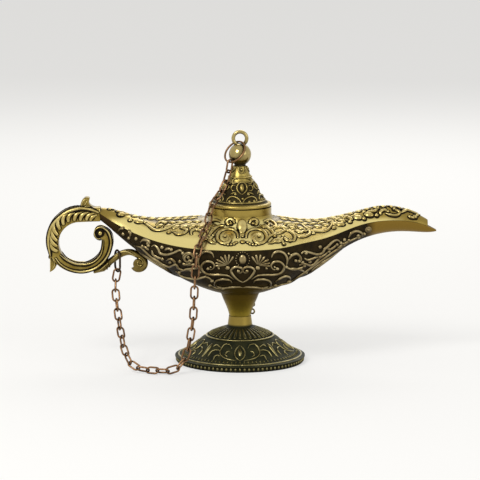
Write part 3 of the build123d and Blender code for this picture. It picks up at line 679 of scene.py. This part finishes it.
def shield(mesh, pixel, half_wide, half_tall, rise, names, levels=5, segments=24):
    """A raised oval that follows a curved wall. Its half sizes are in pixels and its rise is in mm."""
    circles = []
    for level in range(levels):
        high = math.pi / 2 * level / levels
        circles.append([])
        for turn in (2 * math.pi * i / segments for i in range(segments)):
            place, normal = on_casting((pixel[0] + half_wide * math.cos(turn) * math.cos(high),
                                        pixel[1] - half_tall * math.sin(turn) * math.cos(high)), *names)
            circles[-1].append(mesh.verts.new(place + normal * (rise * math.sin(high) - SUNK) * mm))
    place, normal = on_casting(pixel, *names)
    stack(mesh, circles, mesh.verts.new(place + normal * (rise - SUNK) * mm))


def plate(line, width, mirror=False, ball=1.0):
    """A flat raised strand of the shoulder, with the dark line that the patina leaves round it."""
    strand(shoulder_relief, line, width, 0.85, shoulder_skin, (0.45, 0.65), mirror=mirror, ball=ball)
    strand(shoulder_lines, line, width + OUTLINE, OUTLINE_RISE, shoulder_skin, (0.8, 0.8), mirror=mirror,
           ball=ball + OUTLINE / 2, ball_rise=OUTLINE_RISE)


def button(pixel, half_width, half_height, rise, mirror=False, **more):
    """A raised oval of the shoulder with its dark line."""
    dome(shoulder_relief, pixel, half_width, half_height, rise, shoulder_skin, mirror=mirror, **more)
    dome(shoulder_lines, pixel, half_width + OUTLINE / 2, half_height + OUTLINE / 2, OUTLINE_RISE,
         shoulder_skin, mirror=mirror, **more)


for line in SHOULDER_SCROLLS:
    for side in (False, SHOULDER_AXIS):
        plate(line, 2.0, side)
for line in SHOULDER_SPOUT_SCROLLS + SHOULDER_HANDLE_SCROLLS:
    plate(line, 1.8, ball=0.9)
for x in (VOLUTE_FIELD[0], 2 * SHOULDER_AXIS - VOLUTE_FIELD[0]):
    shield(shoulder_relief, (x, VOLUTE_FIELD[1]), 6.4, 5.0, 0.4, shoulder_skin)
shield(shoulder_relief, SHOULDER_BUTTON, 5.2, 7.4, 1.3, shoulder_skin)
shield(shoulder_lines, SHOULDER_BUTTON, 6.2, 8.4, OUTLINE_RISE, shoulder_skin)
for ball, radius in SHOULDER_BALLS.items():
    button(ball, radius, radius, 0.9)
for pod in PODS:
    button(pod, 2.5, 1.7, 1.0, segments=20)
for small_bud in SMALL_BUDS:
    button(small_bud, 1.2, 1.2, 1.0)
for scallop in SCALLOPS:
    for side in (False, SHOULDER_AXIS):
        button(scallop, 0.8, 0.9, 0.8, side)
finish_relief(shoulder_relief, "shoulder_relief", "lamp", "shoulder_gold", material="shoulder_relief")
finish_relief(shoulder_lines, "shoulder_lines", "lamp", "shoulder_gold", material="dark_line")

# %% [markdown]
# From above, the shoulder is filled with leaves on both sides of the ridge. They run from the collar
# to the handle and along the spout, in rows that lean in turn, and get smaller as the walls close in.
# The picture can't show them singly, so they are set by rule: a row stands at a share of the wall's
# half width, which is measured by feeling inward with plumb lines.

# %% Leaves along the ridge
# the rows' places and their leaves' leans in radians, then places and widths in mm
ROW_SHARES = (0.1, 0.3, 0.5)
ROW_LEANS = (0.6, -0.5, 0.6)
ROWS_START, ROWS_END = -66.0, 90.0
SIDE_ROWS_START, SIDE_ROWS_END = -42.0, 56.0
LEAF_PITCH = 4.2
COLLAR_CLEAR = 21.5
WIDEST, FULL_SIZE_WIDTH, LEAST_WIDTH = 33, 14, 3


def from_above(name, x, y):
    """Where a plumb line at x, y in mm meets a casting from above: the point and its normal, or None."""
    place, normal, face, distance = skin(name).ray_cast(Vector((x * mm, y * mm, 1)), Vector((0, 0, -1)))
    return (place, normal if normal.z > 0 else -normal) if place else None


ridge_leaves, ridge_lines = bmesh.new(), bmesh.new()
for row, (row_share, row_lean) in enumerate(zip(ROW_SHARES, ROW_LEANS)):
    x = ROWS_START + row * LEAF_PITCH / 2
    while x < ROWS_END:
        wide = next((w for w in range(WIDEST, 1, -1) if from_above("upper_shell", x, -w)), 2)
        y = -row_share * wide
        in_row = row == 0 or SIDE_ROWS_START < x < SIDE_ROWS_END
        if in_row and wide > LEAST_WIDTH and math.hypot(x, y) > COLLAR_CLEAR:
            size = min(1.0, wide / FULL_SIZE_WIDTH)
            half = (1.3 + 1.1 * size, 0.5 + 0.85 * size)
            lean = row_lean if x > 0 else -row_lean
            found = from_above("upper_shell", x, y)
            bud(ridge_leaves, *found, *half, 0.55 + 0.3 * size, segments=14, lean=lean)
            bud(ridge_lines, *found, half[0] + OUTLINE / 2, half[1] + OUTLINE / 2, OUTLINE_RISE,
                segments=14, lean=lean)
            bud(ridge_leaves, *from_above("upper_shell", x + LEAF_PITCH / 2, y), 0.5, 0.5, 0.7)
        x += LEAF_PITCH
finish_relief(ridge_leaves, "ridge_leaves", "lamp", "shoulder_gold", material="shoulder_relief")
finish_relief(ridge_lines, "ridge_lines", "lamp", "shoulder_gold", material="dark_line")

# %% [markdown]
# The lid carries one motif four times round: a pointed oval with a button in it, scrolls beside it,
# drops below, and two arches that reach to the next motif. A ring runs round it above and below.
# An Array modifier could turn the motif, but copies made at once need no empty to turn round.

# %% Relief of the lid
LID_AXIS = 241.9
LID_SCROLLS = [
    [(241.9, 181), (245.4, 184.1), (246.9, 187.9), (245.4, 191.9), (241.9, 195)],
    [(246, 180.1), (248.3, 178.7), (250.9, 180.4), (250.6, 183.6), (248, 183.6)],
    [(247.7, 186.4), (250.6, 185.3), (252.6, 188.1), (250.9, 191), (248.6, 189.9)],
    [(242.3, 204.5), (244.3, 200.2), (248.3, 197.4), (252.9, 197), (256.3, 199.6), (257.2, 203.1)],
    [(247.1, 192.7), (250.6, 193.3), (254, 195)],
    [(242.6, 165.2), (244.9, 166.9), (245.4, 170.4), (243.7, 172.9), (241.5, 173.5)],
]
LID_DROPS = [(248.5, 194.3), (254.3, 201.3), (249.4, 201.9)]
# buttons, each with its half width and half height in mm
LID_BUTTONS = {(241.9, 187.9): (1.15, 2.4), (242.7, 199.1): (0.8, 1.0), (241.5, 169.8): (0.8, 1.0)}
LID_RING_HEIGHTS = (93.0, 83.2)
LID_MOTIFS = 4
lid_skin = ("lid",)


def turn_copies(mesh, count):
    """Copies all relief in the mesh round the lamp's axis, count times in all."""
    first = mesh.verts[:] + mesh.edges[:] + mesh.faces[:]
    for k in range(1, count):
        bmesh.ops.rotate(mesh, cent=(0, 0, 0), matrix=Matrix.Rotation(2 * math.pi * k / count, 3, "Z"),
                         verts=copy_relief(mesh, first))


lid_relief = bmesh.new()
for line in LID_SCROLLS:
    for side in (False, LID_AXIS):
        strand(lid_relief, line, 0.95, 0.7, lid_skin, mirror=side)
for drop in LID_DROPS:
    for side in (False, LID_AXIS):
        dome(lid_relief, drop, 0.75, 1.0, 0.7, lid_skin, mirror=side)
for lid_button, half_sizes in LID_BUTTONS.items():
    dome(lid_relief, lid_button, *half_sizes, 0.9, lid_skin, rings=5, segments=16)
turn_copies(lid_relief, LID_MOTIFS)
for height in LID_RING_HEIGHTS:
    lay_strand(lid_relief, [from_side("lid", height, math.radians(5 * k)) for k in range(73)], 0.9, 0.5,
               (1, 1))
finish_relief(lid_relief, "lid_relief", "lid_body", "lid_olive", both_sides=False, material="lid_relief")

# %% [markdown]
# The foot carries a band of scrolls: one motif four times round, with a drop inside a pointed oval,
# and a ribbed leaf between two motifs. Each is modelled once, and the copies are turned round the axis.

# %% Scrolls of the foot
FOOT_AXIS = 239.9
FOOT_SCROLLS = [
    [(239.9, 345), (243.2, 348.6), (245, 352.7), (243.7, 357.8), (239.9, 360.8)],
    [(247.8, 348.6), (249.8, 345), (254.9, 344.5), (258.5, 348.6), (259.5, 353.7), (255.9, 357.8),
     (249.8, 359.8), (243.7, 360.5)],
    [(249.8, 351.1), (252.9, 352.1), (254.4, 355.2), (251.8, 356.7)],
    [(259, 350.6), (263.1, 350.1), (268.2, 351.6), (272.2, 356.7)],
    [(259.5, 356.2), (264.1, 355.7), (266.6, 359.8)],
    [(259, 347.6), (263.1, 345), (266.6, 347)],
]
FOOT_BUTTON = (239.9, 352.7)
FOOT_MOTIFS = 4
LEAF_TURN, LEAF_RADII = math.radians(45), (27.4, 19.6)
foot_skin = ("foot",)


def on_foot(radius, turn):
    """A place on the foot's upper side, by its distance in mm from the axis and its angle."""
    return from_above("foot", radius * math.sin(turn), -radius * math.cos(turn))


def spoke(mesh, turn, inner, outer, width, height, taper, ramp=4.0, steps=10):
    """A raised rib on the foot that runs outward at an angle."""
    radii = [inner + (outer - inner) * k / steps for k in range(steps + 1)]
    lay_strand(mesh, [on_foot(radius, turn) for radius in radii], width, height, taper, ramp)


foot_relief = bmesh.new()
for line in FOOT_SCROLLS:
    for side in (False, FOOT_AXIS):
        strand(foot_relief, line, 0.8, 0.6, foot_skin, mirror=side)
dome(foot_relief, FOOT_BUTTON, 1.0, 2.6, 0.8, foot_skin, rings=5, segments=16)
spoke(foot_relief, LEAF_TURN, *LEAF_RADII, 2.2, 0.8, (0.3, 0.2), ramp=1.5)
turn_copies(foot_relief, FOOT_MOTIFS)
finish_relief(foot_relief, "foot_scrolls", "lamp", "foot_bronze", both_sides=False, material="foot_relief")

# %% [markdown]
# Above the scrolls, flutes run from the neck down to a raised ring. Below them stands a row of short
# ticks, and a line follows the rim. The flutes and ticks are rubbed less than the scrolls.

# %% Flutes, ticks and lines of the foot
# how many, and from which to which radius in mm
FLUTES, FLUTE_RADII = 36, (7.6, 16.2)
TICKS, TICK_RADII = 88, (28.4, 30.0)
RING_RADIUS, RIM_LINE_RADIUS = 17.2, 31.4
foot_ribs = bmesh.new()
spoke(foot_ribs, 0, *FLUTE_RADII, 1.7, 0.8, (0.35, 0.8), ramp=1.0)
turn_copies(foot_ribs, FLUTES)
finish_relief(foot_ribs, "foot_flutes", "lamp", "foot_bronze", both_sides=False, material="foot_ribs")

foot_ticks = bmesh.new()
spoke(foot_ticks, 0, *TICK_RADII, 0.9, 0.5, (0.6, 0.6), steps=4)
turn_copies(foot_ticks, TICKS)
finish_relief(foot_ticks, "foot_ticks", "lamp", "foot_bronze", both_sides=False, material="foot_ribs")

foot_line = bmesh.new()
for radius, rise in ((RIM_LINE_RADIUS, 0.45), (RING_RADIUS, 0.4)):
    lay_strand(foot_line, [on_foot(radius, math.radians(3 * k)) for k in range(121)], 0.9, rise, (1, 1))
finish_relief(foot_line, "foot_rim_line", "lamp", "foot_bronze", both_sides=False, material="foot_relief")

# %% [markdown]
# A row of beads closes the rim, cast with it and rubbed bright. Each could be set by hand, but they are
# all alike: one ball is drawn out to a bead and moved to its place in front, and its copies are turned
# round the foot and joined to it.

# %% Beads of the foot
# half sizes of a bead, the radius of the row and its height, in mm
BEADS = 88
BEAD_SIZE = (0.68, 0.72, 1.2)
BEAD_CIRCLE, BEAD_HEIGHT = 32.3, 1.3
bpy.ops.object.select_all(action="DESELECT")
bpy.ops.mesh.primitive_uv_sphere_add(segments=10, ring_count=7, radius=mm)
foot_beads = bpy.context.object
foot_beads.name = "foot_beads"
bpy.ops.object.mode_set(mode="EDIT")
bpy.ops.mesh.select_all(action="SELECT")
bpy.ops.transform.resize(value=BEAD_SIZE)
bpy.ops.transform.translate(value=(0, -BEAD_CIRCLE * mm, BEAD_HEIGHT * mm))
bpy.ops.object.mode_set(mode="OBJECT")
for k in range(1, BEADS):
    bead = foot_beads.copy()
    bead.data = foot_beads.data.copy()
    bead.data.transform(Matrix.Rotation(2 * math.pi * k / BEADS, 4, "Z"))
    bpy.context.scene.collection.objects.link(bead)
    bead.select_set(True)
bpy.ops.object.join()
bpy.ops.object.shade_smooth()
foot_beads.data.materials.append(finishes["foot_relief"])
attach(foot_beads, "lamp")
print("foot_beads faces:", len(foot_beads.data.polygons))

# %% [markdown]
# The handle's lower half is a smooth channel with a rail along each edge, and it ends in a small volute.
# Thin veins mark the thumb leaf and the tail leaf. The rails could be cut from the solid's edge, but
# laid on as strands they swell and fade as the carved ones do.

# %% Rails and veins of the handle
HANDLE_RAILS = [
    [(98.8, 212.7), (94.5, 210.9), (88.8, 209.2), (82.5, 208.5), (76.7, 209), (71, 210.5), (65.2, 213.2),
     (59.5, 217.5), (54.6, 222.4), (50.9, 228.4), (48.9, 235.3), (48.3, 241.6), (48.9, 247.9),
     (50, 253.7), (50.9, 258.3)],
    [(55.5, 257.7), (59.5, 263.1), (65.8, 267.7), (73.3, 270.5), (81.3, 271.5), (89.3, 270.3),
     (96.2, 267.5), (102, 262.9), (106.6, 257.1), (109.4, 250.8), (110.9, 243.9), (110.5, 238.2),
     (108.3, 232.5), (104.8, 229.3), (100.2, 227.8), (96.2, 229.3), (94.4, 232.7), (95.4, 236.8),
     (97.9, 238.8), (100.8, 238.7)],
    [(60.1, 254.8), (64.7, 259.1), (69.8, 262.4), (75.6, 264.5), (81.3, 265), (87, 264.5), (92.8, 262.4),
     (97.4, 258.8), (100.8, 254.3), (102.5, 248.5), (103.2, 242.8), (103.1, 239.9)],
]
HANDLE_VEINS = [
    [(81.9, 207.8), (81.8, 203.8), (83.9, 200.3), (87.9, 199.2)],
    [(82.7, 207.9), (85.9, 206.6), (90.5, 206.4)],
    [(84.2, 206.6), (85.3, 203.8), (87.6, 200.6)],
    [(49.5, 253.7), (50.6, 261.1), (50.5, 270.3)],
    [(51.5, 257.1), (54.1, 261.1), (54.3, 265.7), (51.2, 270.6)],
    [(99.4, 208.5), (99.7, 211.5), (101.4, 214.7), (102.2, 215.8)],
]
VOLUTE = (100.2, 233.3)
RAIL_WIDTHS = (1.6, 1.1, 0.8)
handle_skin = ("handle",)
handle_relief, handle_lines = bmesh.new(), bmesh.new()
for line, width in zip(HANDLE_RAILS, RAIL_WIDTHS):
    strand(handle_relief, line, width, 0.9, handle_skin, taper=(0.6, 0.4))
    strand(handle_lines, line, width + OUTLINE, OUTLINE_RISE, handle_skin, taper=(0.8, 0.8))
for line in HANDLE_VEINS:
    strand(handle_relief, line, 0.7, 0.4, handle_skin)
dome(handle_relief, VOLUTE, 1.2, 1.2, 0.9, handle_skin)
dome(handle_lines, VOLUTE, 2.1, 2.1, OUTLINE_RISE, handle_skin)
finish_relief(handle_relief, "handle_rails", "lamp", "handle_gold", material="handle_relief")

# %% [markdown]
# The upper half is wound like a rope: slanted lobes between the outer rail and the finger hole.
# Each lobe swells slowly from the rail and has its dark line, as the rails have.

# %% Rope of the handle
HANDLE_LOBES = [
    [(97.4, 214.7), (93.4, 216.4), (91.1, 218.7), (90.8, 221)],
    [(94.5, 212.9), (89.9, 214.7), (87.3, 217), (86.6, 220.4)],
    [(88.8, 212.1), (83.6, 214.1), (81, 217), (80.4, 220.7)],
    [(81.9, 212.4), (77.3, 213.8), (75, 217), (74.4, 221)],
    [(75, 212.7), (70.7, 214.4), (68.4, 217.5), (68.4, 222.1)],
    [(68.4, 213.5), (64.4, 215.8), (62.9, 219.8), (63.6, 225)],
    [(62.7, 215.8), (58.4, 219.8), (57.8, 224.4), (60.1, 229.6)],
    [(57.2, 219.8), (53.8, 225), (54.3, 230.7), (57.8, 235.3)],
    [(52.9, 226.7), (51.8, 232.5), (53.8, 237.6), (57.2, 241.1)],
    [(50.6, 234.2), (50.9, 239.3), (53.5, 243.9), (57.2, 246.5)],
    [(49.9, 241.1), (51.2, 245.9), (53.8, 249.4), (57.8, 251.4)],
]
LOBE_WIDTH = 2.3
handle_rope = bmesh.new()
for line in HANDLE_LOBES:
    strand(handle_rope, line, LOBE_WIDTH, 1.1, handle_skin, taper=(0.3, 0.75), ramp=1.8)
    strand(handle_lines, line, LOBE_WIDTH + OUTLINE, OUTLINE_RISE, handle_skin, taper=(0.5, 0.8), ramp=1.8)
finish_relief(handle_rope, "handle_rope", "lamp", "handle_gold", material="handle_relief")
finish_relief(handle_lines, "handle_lines", "lamp", "handle_gold", material="dark_line")

# %% [markdown]
# The branch has two ribs on its sheath, one along its bar, and a thin spiral on its curled end.
# The spiral could be traced as the others are, but a turn and a shrinking radius give a smoother one.

# %% Relief of the branch
BRANCH_RIBS = [
    [(97.5, 271.5), (104, 266.5), (110.5, 261)],
    [(95.5, 268.5), (102, 264), (108.5, 258.5)],
    [(113, 256.5), (118, 253.5), (124, 251.5), (130, 252.5), (136, 256.5)],
]
# the spiral's middle, first radius and loss for each point in pixels, and its turns in degrees
BRANCH_CURL = (139.3, 262.9)
CURL_RADIUS, CURL_SHRINK = 5.0, 0.3
CURL_START, CURL_STEP, CURL_POINTS = 150, -32, 15
branch_skin = ("handle_branch",)
branch_relief = bmesh.new()
for line in BRANCH_RIBS:
    strand(branch_relief, line, 0.9, 0.7, branch_skin)
curl = []
for k in range(CURL_POINTS):
    turn, reach = math.radians(CURL_START + CURL_STEP * k), CURL_RADIUS - CURL_SHRINK * k
    curl.append((BRANCH_CURL[0] + reach * math.cos(turn), BRANCH_CURL[1] - reach * math.sin(turn)))
strand(branch_relief, curl, 0.75, 0.6, branch_skin)
finish_relief(branch_relief, "branch_relief", "lamp", "branch_bronze", material="handle_relief")

# %% [markdown]
# A small S-shaped bracket stands out from the right of the neck, a round wire brazed on at both ends.
# It could be extruded step by step. A curve with a round section bends more evenly, and it is turned
# into a mesh once it has its shape.

# %% Bracket on the neck
# places right of the axis and above the table, and the wire's radius, in mm
BRACKET_ROUTE = [(5.3, 24.6), (6.6, 24.3), (7.4, 25.2), (7.0, 26.3), (6.1, 26.8), (6.3, 27.9),
                 (7.3, 28.6), (7.2, 29.9), (6.2, 30.2)]
BRACKET_RADIUS = 0.42
bracket_line = bpy.data.curves.new("neck_bracket", "CURVE")
bracket_line.dimensions = "3D"
bracket_line.bevel_depth = BRACKET_RADIUS * mm
bracket_line.bevel_resolution = 3
bracket_line.use_fill_caps = True
route = smooth_line([Vector((x * mm, 0, z * mm)) for x, z in BRACKET_ROUTE], 0.4 * mm)
spline = bracket_line.splines.new("POLY")
spline.points.add(len(route) - 1)
for knot, place in zip(spline.points, route):
    knot.co = (*place, 1)
neck_bracket = bpy.data.objects.new("neck_bracket", bracket_line)
bpy.context.scene.collection.objects.link(neck_bracket)
bpy.ops.object.select_all(action="DESELECT")
neck_bracket.select_set(True)
bpy.context.view_layer.objects.active = neck_bracket
bpy.ops.object.convert(target="MESH")
bpy.ops.object.shade_smooth()
neck_bracket.data.materials.append(finishes["branch_bronze"])
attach(neck_bracket, "lamp")
print("bracket faces:", len(neck_bracket.data.polygons))
